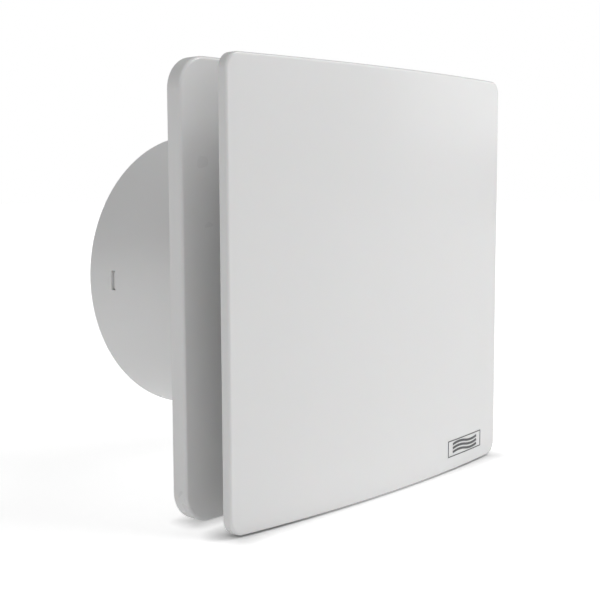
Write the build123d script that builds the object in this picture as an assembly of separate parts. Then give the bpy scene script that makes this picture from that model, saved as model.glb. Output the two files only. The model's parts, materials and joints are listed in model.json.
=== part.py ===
"""Bathroom extractor fan with a panel front, for a 125 mm duct. Millimetres.

+X is right seen from the room, +Y goes into the wall along the duct, +Z is up.
The origin is on the duct axis in the wall's face.
"""
from build123d import *
import math
import os

# ---- front cover ----
COVER_W = 170.0            # width and height
COVER_R = 6.0              # corner radius
COVER_BACK_Y = -25.8       # back rim plane
COVER_EDGE_T = 3.8         # edge thickness at the left and right sides
COVER_BOW = 6.4            # how far the middle stands out past the sides
COVER_SKIN = 2.4           # front skin and skirt thickness
COVER_EDGE_FILLET = 1.2    # front edge rounding
POST_X = 22.0              # push-in posts, half spacing across
POST_Z = 75.0              # push-in posts, half spacing up
POST_R = 3.6
POST_END_Y = -1.6
POST_SLOT_W = 1.3          # slot that lets the post tip spring
POST_SLOT_L = 9.0
POST_RIB_T = 1.6
POST_RIB_H = 3.4

# ---- badge ----
BADGE_X = 55.5
BADGE_Z = -75.3
BADGE_W = 29.3
BADGE_H = 7.3
BADGE_LINE = 0.4
WAVE_LINE = 1.0
WAVE_HALF = 10.6           # half length of the badge's waves
WAVE_STEP = 1.75
WAVE_RISE = 0.55
BADGE_T = 0.12

# ---- base plate ----
BASE_W = 171.4
BASE_R = 12.2
BASE_T = 6.8
BASE_SKIN = 2.4
BASE_EDGE_FILLET = 1.3
BASE_RIB_T = 1.6
BASE_RIB_GAP = 0.8         # ribs stop this far short of the wall face

# ---- duct spigot ----
SPIGOT_R = 62.25
SPIGOT_WALL = 2.2
SPIGOT_L = 80.0
MOUTH_FILLET = 3.0
SPIGOT_END_CHAMFER = 0.5
SPIGOT_ROOT_T = 1.2        # thickening of the spigot's root inside the base
SNAP_FROM_END = 14.9       # snap slots for the damper frame, from the spigot's end
SNAP_W = 2.6
SNAP_HALF = 4.1

# ---- fixings ----
WALL_X = 120.0             # wall screw spacing across
WALL_Z = 90.0              # wall screw spacing up
WALL_HOLE_R = 2.3
WALL_BOSS_R = 5.5
SOCKET_WALL = 2.1
SOCKET_FRONT_Y = -12.0
SOCKET_GAP = 0.3

# ---- motor spider ----
PLATE_R = 30.0
PLATE_Y0 = 25.5
PLATE_T = 3.0
PLATE_HOLE_R = 9.0
SPOKE_T = 2.4
SPOKE_D = 9.0
SPOKE_ANGLES = (-90.0, 30.0, 150.0)
MOTOR_SCREW_X = 18.7
MOTOR_BOSS_R = 2.9

# ---- lead channel in the spigot wall ----
CHANNEL_ANGLE = 48.0
CHANNEL_HALF = 3.0
CHANNEL_DEPTH = 3.35       # trough floor below the spigot's outside
CHANNEL_WALL = 1.9
CHANNEL_END_Y = 33.0
CHANNEL_WINDOW_Y0 = 28.0
CHANNEL_WINDOW_Y1 = 31.6

# ---- terminal compartment ----
BOX_X0 = 28.5
BOX_X1 = 66.0
BOX_Z0 = 58.0
BOX_Z1 = 82.2
BOX_WALL = 1.8
BOX_RIM_Y = -19.6
LID_T = 1.8
LID_BOSS_R = 2.6
LID_BOSS_SINK = 0.6        # how far the lid's screw boss stands into the corner walls
SMALL_SCREW_R = 1.2
TERM_X = (34.8, 41.2)
TERM_Z0 = 64.0
TERM_Z1 = 73.0
TERM_FRONT_Y = -16.3
TERM_Y = -11.2
TERM_SIDE = 3.2            # plastic beside the outer pole centres
CLAMP_TUBE_R = 2.2
CLAMP_BORE_R = 1.35
TERM_SCREW_R = 1.0
TERM_HEAD_R = 1.7
TERM_HEAD_T = 1.3
GROMMET_X = 56.4
GROMMET_Z = 72.4
GROMMET_NECK_R = 5.4
GROMMET_FLANGE_R = 6.8
GROMMET_BORE_R = 3.4
GROMMET_LIP = 1.8
CORD_X = 46.9
CORD_HALF = 5.5            # cord clamp screws, half spacing
CORD_BAR_W = 3.6
CORD_BAR_T = 2.2
CORD_BOSS_H = 5.2
CORD_BOSS_R = 2.1

# ---- motor ----
STATOR_Y0 = 38.0
STATOR_T = 14.0
STATOR_HALF_W = 24.0
STATOR_POLE_H = 20.0
STATOR_TOP_Z = 46.0
STATOR_LEG = 10.0
STATOR_BORE_R = 13.0
STATOR_CORNER_R = 8.0
BAR_Z0 = 34.0
BAR_Z1 = 44.0
BAR_END = 3.0              # how far the bar's tongues reach into the legs
BAR_END_H = 7.0
SCREW_HOLE_R = 1.7
SCREW_R = 1.5
SCREW_HEAD_R = 2.9
SCREW_HEAD_T = 2.0
RING_W = 2.0               # shading ring bar
RING_A = (-12.26, 10.28)   # shading ring, slot end
RING_B = (-8.0, 18.9)      # shading ring, notch end
RING_FACE_GAP = 0.2
RING_SIDE_GAP = 0.2
BOBBIN_GAP = 0.3
BOBBIN_T = 1.2
BOBBIN_HALF_L = 13.4
COIL_T = 5.0
WRAP_T = 0.5
FLANGE_PROUD = 0.6         # bobbin flange past the wrapped coil
SLEEVE_CORNER = 3.0
CUTOUT_L = 12.0
CUTOUT_W = 5.0
CUTOUT_H = 2.6
TAB_Z = (46.2, 41.2)
TAB_W = 2.4
TAB_T = 0.8
TAB_Y0 = 28.0
BRACKET_T = 2.2
BRACKET_RISE = 4.3         # from the feet up to the strap
BRACKET_HALF_Z = 6.0
BRACKET_FOOT_X0 = 13.5
BRACKET_FOOT_X1 = 23.5
HUB_R = 6.5
HUB_OUT = 2.2              # bearing hub outside the strap
HUB_IN = 1.3               # bearing hub inside the strap
BUSH_R = 4.0
BUSH_L = 4.8
FELT_R = 5.5
FELT_T = 1.2
CLIP_T = 0.6

# ---- rotor ----
SHAFT_R = 2.0
SHAFT_FIT = 0.04           # radial running clearance in the bushes
SHAFT_Y0 = -0.8
ROTOR_R = 12.6
CAGE_R = 12.0
CAGE_RING_T = 2.5
CAGE_RING_IN_R = 7.0
CAGE_BAR_R = 0.9
CAGE_BAR_AT_R = 11.0
CAGE_BARS = 12
WASHER_R = 3.6
WASHER_T = 0.4

# ---- impeller ----
IMP_HUB_R = 25.0
IMP_TIP_GAP = 1.2          # blade tips to the lead channel
IMP_Y0 = 1.5
IMP_HUB_L = 20.5
IMP_WALL = 2.0
IMP_BOSS_R = 4.6
IMP_DOME = 4.0
BLADES = 7
BLADE_MID_Y = 11.8
BLADE_ROOT_CHORD = 24.0
BLADE_TIP_CHORD = 34.0
BLADE_ROOT_PITCH = 43.0
BLADE_TIP_PITCH = 27.0
BLADE_ROOT_T = 2.2
BLADE_TIP_T = 1.4
BLADE_CAMBER = 2.4
BLADE_EDGE_T = 0.8

# ---- backdraught damper ----
DAMPER_GAP = 0.35          # frame to spigot, all round
DAMPER_WALL = 2.3
DAMPER_LEAD = 1.9          # frame in front of the snap slots
DAMPER_L = 14.4
SEAT_W = 2.9               # seat lip, across
SEAT_T = 1.8
PIN_R = 1.25
PIN_FROM_REAR = 4.5        # pin axis from the frame's rear edge
PIN_FIT = 0.05
FLAP_EDGE_GAP = 0.5
FLAP_T = 1.2
FLAP_IN_X = 4.0
FLAP_GAP = 0.3
KNUCKLE_R = 2.6
KNUCKLE_L = 8.0
KNUCKLES_LEFT = (-42.0, 18.0)
KNUCKLES_RIGHT = (42.0, -18.0)
BAR_HALF_W = 5.5
BAR_GROOVE = 3.3
BAR_T = 2.8
BAR_TO_PIN = 3.2           # groove floor to the pin's axis
TONGUE_DEPTH = 1.05        # how far the snap tongues stay below the spigot's outside
SPRING_WIRE_R = 0.3
SPRING_COIL_R = 1.8
SPRING_PITCH = 0.9
SPRING_TURNS = 4.5
SPRING_Z = 34.5
SPRING_LEG_X = 14.0
SPRING_LIFT = 0.15         # leg above the flap's back
SPRING_HOOK_R = 2.75       # reach of the short leg, inside the bar's groove
SPRING_NOTCH_X = 7.8       # how far out the notch for the other flap's spring leg goes
SPRING_NOTCH_HALF = 1.1

# ---- wires ----
LEAD_R = 1.0
LEAD_CORE_R = 0.55
LEAD_BEND = 2.2
LEAD_SIDE = 1.35           # half distance between the two leads in the channel
LEAD_IN_CHANNEL = 0.3      # lead above the channel's floor
LEAD_TRAY_GAP = 1.1        # lead behind the base's skin
LEAD_RUN_Y = 29.8
LEAD_KINK_LIVE = 3.75      # where each lead turns in, outside the spigot
LEAD_KINK_NEUTRAL = 9.75
LEAD_IN_LIVE = 8.0         # how far each lead runs in before turning to the coil
LEAD_IN_NEUTRAL = 9.5
LEAD_DROP_Z = 61.4

# ---- small joins, gaps and edges ----
LAP = 0.5                  # how far pieces of one moulding run into each other
HEAD_GAP = 0.2
SHANK_LAP = 0.1
SCREW_TIP_GAP = 0.3
BASE_RIB_DIAGONAL_L = 38.0
PLATE_EDGE_FILLET = 1.0
SPOKE_FROM_HOLE = 3.0
CHANNEL_SINK = 0.8         # trough stops this far inside the spigot's outside
CHANNEL_SIDE_WALL = 1.8
LEAD_HOLE_HALF = 1.5
SNAP_CUT = 4.0
COVER_RIB_SETBACK = 1.5
TERM_EDGE_FILLET = 0.8
TERM_SCREW_INSET = 2.2
TERM_SCREW_SINK = 0.4
CLAMP_SETBACK = 0.4
LEAD_CORE_GAP = 0.1
SLOT_HALF = 0.25
SLOT_DEPTH_SHARE = 0.45
LID_CORNER_R = 1.5
LID_EDGE_FILLET = 0.5
LID_LIP_GAP = 0.2
LID_LIP_DEPTH = 1.2
LID_LIP_T = 1.0
LID_BOSS_GAP = 0.3
LID_RELIEF = 3.0
LID_HEAD_T = 1.4
LID_HEAD_R = 2.3
LID_SCREW_SHORT = 3.0
GROMMET_EDGE_FILLET = 0.6
CORD_BAR_END = 2.2
CORD_BAR_R = 1.2
CORD_HEAD_T = 1.3
CORD_HEAD_R = 2.0
RING_SLOT_DEPTH = 3.0
RING_SLOT_HALF = 0.6
CUTOUT_FILLET = 0.8
BRACKET_FILLET = 1.2
CLIP_SHAFT_GAP = 0.9
CLIP_SLOTS = 6
CLIP_SLOT_REACH = 2.0
CLIP_SLOT_HALF = 0.35
MOTOR_HEAD_FILLET = 0.8
CROSS_HALF_W = 0.35
CROSS_HALF_L = 1.9
CROSS_FLOOR = 0.9
SHAFT_END_OUT = 0.7
SHAFT_CHAMFER = 0.3
SPACER_GAP = 0.15
IMP_WEBS = 4
IMP_WEB_L = 9.0
IMP_WEB_HALF = 0.8
IMP_WEB_TURN = 20.0
IMP_CLIP_R = 4.4
IMP_CLIP_T = 0.8
IMP_CLIP_SLOTS = 3
IMP_CLIP_SLOT_REACH = 1.2
IMP_CLIP_SLOT_HALF = 0.5
DAMPER_CHAMFER = 0.6
TONGUE_GAP = 0.3
TONGUE_SIDE_GAP = 0.5
PIN_END_GAP = 0.6
FLAP_RIB_Z = (-26.0, 0.0, 26.0)
FLAP_RIB_IN = 4.0
FLAP_RIB_FROM_RIM = 20.0
FLAP_RIB_LAP = 0.2
FLAP_RIB_H = 0.9
FLAP_RIB_HALF = 0.6
KNUCKLE_ARM_X = 1.6
SPRING_LEG_R = 0.294       # legs a hair thinner than the coil so the joins stay clean
LEAD_TAB_STANDOFF = 1.6

# ---- derived ----
SPIGOT_IN_R = SPIGOT_R - SPIGOT_WALL
SNAP_Y1 = SPIGOT_L - SNAP_FROM_END
SNAP_Y0 = SNAP_Y1 - SNAP_W
CHANNEL_FLOOR_R = SPIGOT_R - CHANNEL_DEPTH
CHANNEL_INNER_R = CHANNEL_FLOOR_R - CHANNEL_WALL
IMP_TIP_R = CHANNEL_INNER_R - IMP_TIP_GAP
LEAD_CHANNEL_R = CHANNEL_FLOOR_R + LEAD_IN_CHANNEL + LEAD_R
BASE_FRONT_Y = -BASE_T
BASE_BACK_OF_SKIN_Y = -BASE_T + BASE_SKIN
LEAD_TRAY_Y = BASE_BACK_OF_SKIN_Y + LEAD_R + LEAD_TRAY_GAP
COVER_SIDE_Y = COVER_BACK_Y - COVER_EDGE_T
BOW_R = ((COVER_W / 2) ** 2 + COVER_BOW ** 2) / (2 * COVER_BOW)
BOW_CENTRE_Y = COVER_SIDE_Y - COVER_BOW + BOW_R
STATOR_Y1 = STATOR_Y0 + STATOR_T
BAR_MID_Z = (BAR_Z0 + BAR_Z1) / 2
DAMPER_R = SPIGOT_IN_R - DAMPER_GAP
DAMPER_IN_R = DAMPER_R - DAMPER_WALL
DAMPER_Y0 = SNAP_Y0 - DAMPER_LEAD
DAMPER_Y1 = DAMPER_Y0 + DAMPER_L
SEAT_IN_R = DAMPER_IN_R - SEAT_W
FLAP_R = DAMPER_IN_R - FLAP_EDGE_GAP
PIN_Y = DAMPER_Y1 - PIN_FROM_REAR
BAR_FLOOR_Y = PIN_Y - BAR_TO_PIN
BAR_FRONT_Y = BAR_FLOOR_Y - BAR_T
SEAT_Y1 = PIN_Y - FLAP_T / 2 - FLAP_GAP
FRONT_FOOT_Y = STATOR_Y0 - BRACKET_T
STRAP_FRONT_Y = FRONT_FOOT_Y - BRACKET_RISE
MOTOR_MID_Y = (STATOR_Y0 + STATOR_Y1) / 2
SCREW_TIP_Y = PLATE_Y0 + 1.0
LID_SCREW_X = BOX_X1 - BOX_WALL - LID_BOSS_R + LID_BOSS_SINK
LID_SCREW_Z = BOX_Z0 + BOX_WALL + LID_BOSS_R - LID_BOSS_SINK
FAR = 400.0


# ---- small helpers ----
def block(x0, x1, y0, y1, z0, z1):
    """A box between two corners."""
    return Pos((x0 + x1) / 2, (y0 + y1) / 2, (z0 + z1) / 2) * Box(x1 - x0, y1 - y0, z1 - z0)


def rod_y(r, y0, y1, x=0.0, z=0.0):
    """A round bar along Y."""
    return Pos(x, (y0 + y1) / 2, z) * Rot(90, 0, 0) * Cylinder(r, y1 - y0)


def rod_z(r, z0, z1, x=0.0, y=0.0):
    """A round bar along Z."""
    return Pos(x, y, (z0 + z1) / 2) * Cylinder(r, z1 - z0)


def tube_y(r_out, r_in, y0, y1, x=0.0, z=0.0):
    """A round tube along Y."""
    return rod_y(r_out, y0, y1, x, z) - rod_y(r_in, y0 - 1, y1 + 1, x, z)


def slab_y(sketch, y0, y1):
    """A flat shape drawn in X and Z, thick from y0 to y1."""
    return Rot(90, 0, 0) * Pos(0, 0, -y1) * extrude(sketch, y1 - y0)


def turned(angle):
    """A turn about the duct axis that carries +X towards +Z."""
    return Rot(0, -angle, 0)


def polar(r, angle):
    """X and Z of a point at a radius and angle about the duct axis."""
    a = math.radians(angle)
    return r * math.cos(a), r * math.sin(a)


def round_wire(points, r, bend):
    """A round wire through points, its corners bent to a radius."""
    path = FilletPolyline(*points, radius=bend)
    start = Plane(origin=path @ 0, z_dir=path % 0)
    return sweep(start * Circle(r), path=path)


def straight(p0, p1, r):
    """A round bar between two points."""
    start = Vector(*p0)
    run = Vector(*p1) - start
    return Plane(origin=start, z_dir=run.normalized()) * Pos(0, 0, run.length / 2) * Cylinder(r, run.length)


def keep(name, shape):
    """Write one node."""
    shape.label = name
    export_step(shape, "parts/" + name + ".step")


# ---- housing ----
def base_tray():
    """The base plate: a shallow tray open towards the wall."""
    outer = slab_y(RectangleRounded(BASE_W, BASE_W, BASE_R), BASE_FRONT_Y, 0)
    front_edges = outer.edges().group_by(Axis.Y)[0]
    outer = fillet(front_edges, BASE_EDGE_FILLET)
    inner_w = BASE_W - 2 * BASE_SKIN
    hollow = slab_y(RectangleRounded(inner_w, inner_w, BASE_R - BASE_SKIN), BASE_BACK_OF_SKIN_Y, 1)
    return outer - hollow


def base_ribs():
    """Stiffening ribs behind the base plate's front skin."""
    half = BASE_W / 2 - 1
    y0 = BASE_BACK_OF_SKIN_Y - LAP
    y1 = -BASE_RIB_GAP
    t = BASE_RIB_T / 2
    inner = SPIGOT_R - 1
    ribs = block(inner, half, y0, y1, -t, t) + block(-half, -inner, y0, y1, -t, t)
    ribs += block(-t, t, y0, y1, inner, half) + block(-t, t, y0, y1, -half, -inner)
    for angle in (135, 225, 315):
        ribs += turned(angle) * block(inner, inner + BASE_RIB_DIAGONAL_L, y0, y1, -t, t)
    return ribs


def spigot():
    """The round duct spigot with its thickened root inside the base plate."""
    tube = rod_y(SPIGOT_R, BASE_BACK_OF_SKIN_Y - 1, SPIGOT_L)
    tube = chamfer(tube.edges().group_by(Axis.Y)[-1], SPIGOT_END_CHAMFER)
    return tube + rod_y(SPIGOT_R + SPIGOT_ROOT_T, BASE_BACK_OF_SKIN_Y - LAP, -BASE_RIB_GAP)


def cover_sockets():
    """Collars on the base that the cover's posts push into, and their bores."""
    collars = None
    bores = None
    for x in (-POST_X, POST_X):
        for z in (-POST_Z, POST_Z):
            collar = rod_y(POST_R + SOCKET_GAP + SOCKET_WALL, SOCKET_FRONT_Y, -BASE_RIB_GAP, x, z)
            bore = rod_y(POST_R + SOCKET_GAP, SOCKET_FRONT_Y - 1, 1, x, z)
            collars = collar if collars is None else collars + collar
            bores = bore if bores is None else bores + bore
    return collars, bores


def wall_bosses():
    """Solid pads round the wall screw holes, and the holes."""
    pads = None
    holes = None
    for x in (-WALL_X / 2, WALL_X / 2):
        for z in (-WALL_Z / 2, WALL_Z / 2):
            pad = rod_y(WALL_BOSS_R, BASE_BACK_OF_SKIN_Y - LAP, 0, x, z)
            hole = rod_y(WALL_HOLE_R, BASE_FRONT_Y - 1, 1, x, z)
            pads = pad if pads is None else pads + pad
            holes = hole if holes is None else holes + hole
    return pads, holes


def spider():
    """The plate that carries the motor, its spokes and its two screw bosses."""
    plate = rod_y(PLATE_R, PLATE_Y0, PLATE_Y0 + PLATE_T)
    plate = fillet(plate.edges().group_by(Axis.Y)[0], PLATE_EDGE_FILLET)
    for angle in SPOKE_ANGLES:
        x0 = PLATE_HOLE_R + SPOKE_FROM_HOLE
        spoke = block(x0, SPIGOT_IN_R + 1, PLATE_Y0, PLATE_Y0 + SPOKE_D, -SPOKE_T / 2, SPOKE_T / 2)
        spoke -= block(0, PLATE_R - 2, PLATE_Y0 + PLATE_T, FAR, -SPOKE_T, SPOKE_T)
        plate += turned(angle) * spoke
    for x in (-MOTOR_SCREW_X, MOTOR_SCREW_X):
        plate += rod_y(MOTOR_BOSS_R, PLATE_Y0 + PLATE_T - 1, FRONT_FOOT_Y, x, 0)
    return plate


def lead_channel():
    """The inward trough in the spigot wall for the motor leads, and its cut."""
    half = CHANNEL_HALF
    wall = half + CHANNEL_SIDE_WALL
    trough = block(CHANNEL_INNER_R, SPIGOT_R - CHANNEL_SINK, BASE_BACK_OF_SKIN_Y - LAP, CHANNEL_END_Y, -wall, wall)
    cut = block(CHANNEL_FLOOR_R, SPIGOT_R + 4, BASE_BACK_OF_SKIN_Y, CHANNEL_WINDOW_Y1, -half, half)
    cut += block(CHANNEL_INNER_R - 2, CHANNEL_FLOOR_R + 1, CHANNEL_WINDOW_Y0, CHANNEL_WINDOW_Y1, -half, half)
    return turned(CHANNEL_ANGLE) * trough, turned(CHANNEL_ANGLE) * cut


def terminal_compartment():
    """The compartment's walls and bosses on the front of the base plate."""
    y1 = BASE_FRONT_Y + LAP
    walls = block(BOX_X0, BOX_X1, BOX_RIM_Y, y1, BOX_Z0, BOX_Z1)
    walls -= block(BOX_X0 + BOX_WALL, BOX_X1 - BOX_WALL, -FAR, FAR, BOX_Z0 + BOX_WALL, BOX_Z1 - BOX_WALL)
    walls += rod_y(LID_BOSS_R, BOX_RIM_Y, y1, LID_SCREW_X, LID_SCREW_Z)
    for side in (-1, 1):
        z = GROMMET_Z + side * CORD_HALF
        walls += rod_y(CORD_BOSS_R, BASE_FRONT_Y - CORD_BOSS_H, y1, CORD_X, z)
    return walls


def compartment_holes():
    """Holes through the compartment: grommet, screw holes and lead holes."""
    cuts = rod_y(GROMMET_NECK_R, -FAR, 1, GROMMET_X, GROMMET_Z)
    cuts += rod_y(SMALL_SCREW_R, BOX_RIM_Y - 1, BASE_FRONT_Y - 1, LID_SCREW_X, LID_SCREW_Z)
    for side in (-1, 1):
        z = GROMMET_Z + side * CORD_HALF
        cuts += rod_y(SMALL_SCREW_R, -FAR, BASE_BACK_OF_SKIN_Y, CORD_X, z)
    for x in TERM_X:
        half = LEAD_HOLE_HALF
        hole = block(-half, half, BASE_FRONT_Y - 1, BASE_BACK_OF_SKIN_Y + LAP, -half, half)
        cuts += Pos(x, 0, LEAD_DROP_Z) * hole
    return cuts


def housing():
    """Base plate, spigot, spider, sockets and compartment in one moulding."""
    body = base_tray() + base_ribs() + spigot()
    bore = rod_y(SPIGOT_IN_R, BASE_FRONT_Y - 1, SPIGOT_L + 1)
    body -= bore
    mouth = body.edges().filter_by(GeomType.CIRCLE).group_by(Axis.Y)[0].sort_by(SortBy.RADIUS)
    mouth_edges = [e for e in mouth if abs(e.radius - SPIGOT_IN_R) < 0.01]
    body = fillet(mouth_edges, MOUTH_FILLET)
    collars, bores = cover_sockets()
    pads, holes = wall_bosses()
    trough, channel = lead_channel()
    body += spider() + trough + collars + pads + terminal_compartment()
    body = body - bores - holes - channel - compartment_holes()
    body -= rod_y(PLATE_HOLE_R, 0, CHANNEL_END_Y)
    for x in (-MOTOR_SCREW_X, MOTOR_SCREW_X):
        body -= rod_y(SCREW_R, SCREW_TIP_Y - SCREW_TIP_GAP, STATOR_Y0, x, 0)
    for side in (-1, 1):
        body -= block(side * SPIGOT_R - SNAP_CUT, side * SPIGOT_R + SNAP_CUT, SNAP_Y0, SNAP_Y1, -SNAP_HALF, SNAP_HALF)
    return body


# ---- front cover ----
def bow_cylinder(r):
    """The big upright cylinder whose surface is the bow of the cover."""
    return rod_z(r, -FAR / 2, FAR / 2, 0, BOW_CENTRE_Y)


def front_cover():
    """The bowed square cover with its skirt and push-in posts."""
    front_y = COVER_SIDE_Y - COVER_BOW - 2
    prism = slab_y(RectangleRounded(COVER_W, COVER_W, COVER_R), front_y, COVER_BACK_Y)
    body = prism & bow_cylinder(BOW_R)
    rim = [e for e in body.edges() if e.center().Y < COVER_SIDE_Y + 0.01]
    rim = [e for e in rim if abs(e.bounding_box().size.Y) < COVER_BOW + 1]
    rim = [e for e in rim if not (e.geom_type == GeomType.LINE and abs(e.tangent_at(0).Y) > 0.5)]
    body = fillet(rim, COVER_EDGE_FILLET)
    inner_w = COVER_W - 2 * COVER_SKIN
    hollow = slab_y(RectangleRounded(inner_w, inner_w, COVER_R - COVER_SKIN), front_y, COVER_BACK_Y + 1)
    hollow = hollow & bow_cylinder(BOW_R - COVER_SKIN)
    body -= hollow
    return body + cover_posts()


def cover_posts():
    """Four split posts and the ribs that tie them to the skin."""
    posts = None
    reach = bow_cylinder(BOW_R - COVER_SKIN / 2)
    t = POST_RIB_T / 2
    for x in (-POST_X, POST_X):
        rib = block(x - t, x + t, -FAR / 4, COVER_BACK_Y - COVER_RIB_SETBACK, -COVER_W / 2 + 1, COVER_W / 2 - 1)
        posts = rib if posts is None else posts + rib
        for z in (-POST_Z, POST_Z):
            post = rod_y(POST_R, -FAR / 4, POST_END_Y, x, z)
            post -= block(x - FAR, x + FAR, POST_END_Y - POST_SLOT_L, 1, z - POST_SLOT_W / 2, z + POST_SLOT_W / 2)
            posts += post
    return posts & reach


def cover_badge():
    """A thin outlined badge with three airflow waves, on the bowed front."""
    frame = Rectangle(BADGE_W, BADGE_H) - Rectangle(BADGE_W - 2 * BADGE_LINE, BADGE_H - 2 * BADGE_LINE)
    marks = frame
    for row in (-1, 0, 1):
        mid = Vector(0, row * WAVE_STEP)
        left = mid + Vector(-WAVE_HALF, 0)
        right = mid + Vector(WAVE_HALF, 0)
        wave = ThreePointArc(left, (left + mid) / 2 + Vector(0, WAVE_RISE), mid)
        wave += ThreePointArc(mid, (mid + right) / 2 + Vector(0, -WAVE_RISE), right)
        marks += trace(wave, WAVE_LINE)
    shapes = Pos(BADGE_X, 0, BADGE_Z) * slab_y(marks, COVER_SIDE_Y - COVER_BOW - 2, COVER_BACK_Y)
    shell = bow_cylinder(BOW_R + BADGE_T) - bow_cylinder(BOW_R)
    return shapes & shell


# ---- terminal parts ----
def terminal_block():
    """The plastic block round the two clamp tubes."""
    x0 = TERM_X[0] - TERM_SIDE
    x1 = TERM_X[1] + TERM_SIDE
    body = block(x0, x1, TERM_FRONT_Y, BASE_FRONT_Y, TERM_Z0, TERM_Z1)
    body = fillet(body.edges().filter_by(Axis.Z).group_by(Axis.Y)[0], TERM_EDGE_FILLET)
    for x in TERM_X:
        body -= rod_z(CLAMP_TUBE_R, TERM_Z0 - 1, TERM_Z1 + 1, x, TERM_Y)
        for z in terminal_screw_z():
            body -= rod_y(TERM_HEAD_R + HEAD_GAP, TERM_FRONT_Y - 1, TERM_Y, x, z)
    return body


def terminal_screw_z():
    """Heights of the two screws in each clamp tube."""
    return TERM_Z0 + TERM_SCREW_INSET, TERM_Z1 - TERM_SCREW_INSET


def terminal_clamps():
    """Two brass clamp tubes with tapped holes."""
    tubes = []
    for x in TERM_X:
        tube = rod_z(CLAMP_TUBE_R, TERM_Z0 + CLAMP_SETBACK, TERM_Z1 - CLAMP_SETBACK, x, TERM_Y)
        tube -= rod_z(CLAMP_BORE_R, TERM_Z0 - 1, TERM_Z1 + 1, x, TERM_Y)
        for z in terminal_screw_z():
            tube -= rod_y(TERM_SCREW_R, -FAR, TERM_Y, x, z)
        tubes.append(tube)
    return Compound(children=tubes)


def slotted_head(x, z, y0, y1, r):
    """A round screw head with a driver slot across its front."""
    head = rod_y(r, y0, y1, x, z)
    floor = y0 + (y1 - y0) * SLOT_DEPTH_SHARE
    return head - block(x - r - 1, x + r + 1, y0 - 1, floor, z - SLOT_HALF, z + SLOT_HALF)


def terminal_screws():
    """Four clamp screws."""
    screws = []
    head_y = TERM_FRONT_Y + TERM_SCREW_SINK
    for x in TERM_X:
        for z in terminal_screw_z():
            screw = slotted_head(x, z, head_y, head_y + TERM_HEAD_T, TERM_HEAD_R)
            screw += rod_y(TERM_SCREW_R, head_y + TERM_HEAD_T - SHANK_LAP, TERM_Y - LEAD_CORE_R - LEAD_CORE_GAP, x, z)
            screws.append(screw)
    return Compound(children=screws)


def terminal_lid():
    """The flat lid over the compartment, with a locating lip."""
    lid = block(BOX_X0, BOX_X1, BOX_RIM_Y - LID_T, BOX_RIM_Y, BOX_Z0, BOX_Z1)
    lid = fillet(lid.edges().filter_by(Axis.Y), LID_CORNER_R)
    lid = fillet(lid.edges().group_by(Axis.Y)[0], LID_EDGE_FILLET)
    gap = BOX_WALL + LID_LIP_GAP
    x0 = BOX_X0 + gap
    x1 = BOX_X1 - gap
    z0 = BOX_Z0 + gap
    z1 = BOX_Z1 - gap
    lip = block(x0, x1, BOX_RIM_Y - LAP, BOX_RIM_Y + LID_LIP_DEPTH, z0, z1)
    lip -= block(x0 + LID_LIP_T, x1 - LID_LIP_T, BOX_RIM_Y - 2, BOX_RIM_Y + 2, z0 + LID_LIP_T, z1 - LID_LIP_T)
    lip -= rod_y(LID_BOSS_R + LID_BOSS_GAP, BOX_RIM_Y, BOX_RIM_Y + 3, LID_SCREW_X, LID_SCREW_Z)
    lip -= block(LID_SCREW_X, x1 + 1, BOX_RIM_Y, BOX_RIM_Y + 3, LID_SCREW_Z - LID_RELIEF, LID_SCREW_Z + LID_RELIEF)
    lid += lip
    return lid - rod_y(SMALL_SCREW_R + HEAD_GAP, -FAR, FAR, LID_SCREW_X, LID_SCREW_Z)


def terminal_lid_screw():
    """The screw that holds the lid."""
    y = BOX_RIM_Y - LID_T
    head = slotted_head(LID_SCREW_X, LID_SCREW_Z, y - LID_HEAD_T, y, LID_HEAD_R)
    return head + rod_y(SMALL_SCREW_R, y - SHANK_LAP, BASE_FRONT_Y - LID_SCREW_SHORT, LID_SCREW_X, LID_SCREW_Z)


def cable_grommet():
    """The rubber grommet in the cable inlet."""
    y0 = BASE_FRONT_Y - GROMMET_LIP
    y1 = BASE_BACK_OF_SKIN_Y + GROMMET_LIP
    ring = rod_y(GROMMET_NECK_R, y0, y1, GROMMET_X, GROMMET_Z)
    ring += rod_y(GROMMET_FLANGE_R, y0, BASE_FRONT_Y, GROMMET_X, GROMMET_Z)
    ring += rod_y(GROMMET_FLANGE_R, BASE_BACK_OF_SKIN_Y, y1, GROMMET_X, GROMMET_Z)
    ring = fillet(ring.edges().group_by(Axis.Y)[0], GROMMET_EDGE_FILLET)
    return ring - rod_y(GROMMET_BORE_R, -FAR, FAR, GROMMET_X, GROMMET_Z)


def cord_clamp():
    """The bar that clamps the supply cord down."""
    y1 = BASE_FRONT_Y - CORD_BOSS_H
    half = CORD_HALF + CORD_BAR_END
    half_w = CORD_BAR_W / 2
    bar = block(CORD_X - half_w, CORD_X + half_w, y1 - CORD_BAR_T, y1, GROMMET_Z - half, GROMMET_Z + half)
    bar = fillet(bar.edges().filter_by(Axis.Y), CORD_BAR_R)
    for side in (-1, 1):
        bar -= rod_y(SMALL_SCREW_R + HEAD_GAP, -FAR, FAR, CORD_X, GROMMET_Z + side * CORD_HALF)
    return bar


def cord_clamp_screws():
    """Two screws for the cord clamp bar."""
    screws = []
    y = BASE_FRONT_Y - CORD_BOSS_H - CORD_BAR_T
    for side in (-1, 1):
        z = GROMMET_Z + side * CORD_HALF
        screw = slotted_head(CORD_X, z, y - CORD_HEAD_T, y, CORD_HEAD_R)
        screws.append(screw + rod_y(SMALL_SCREW_R, y - SHANK_LAP, BASE_FRONT_Y, CORD_X, z))
    return Compound(children=screws)


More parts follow.
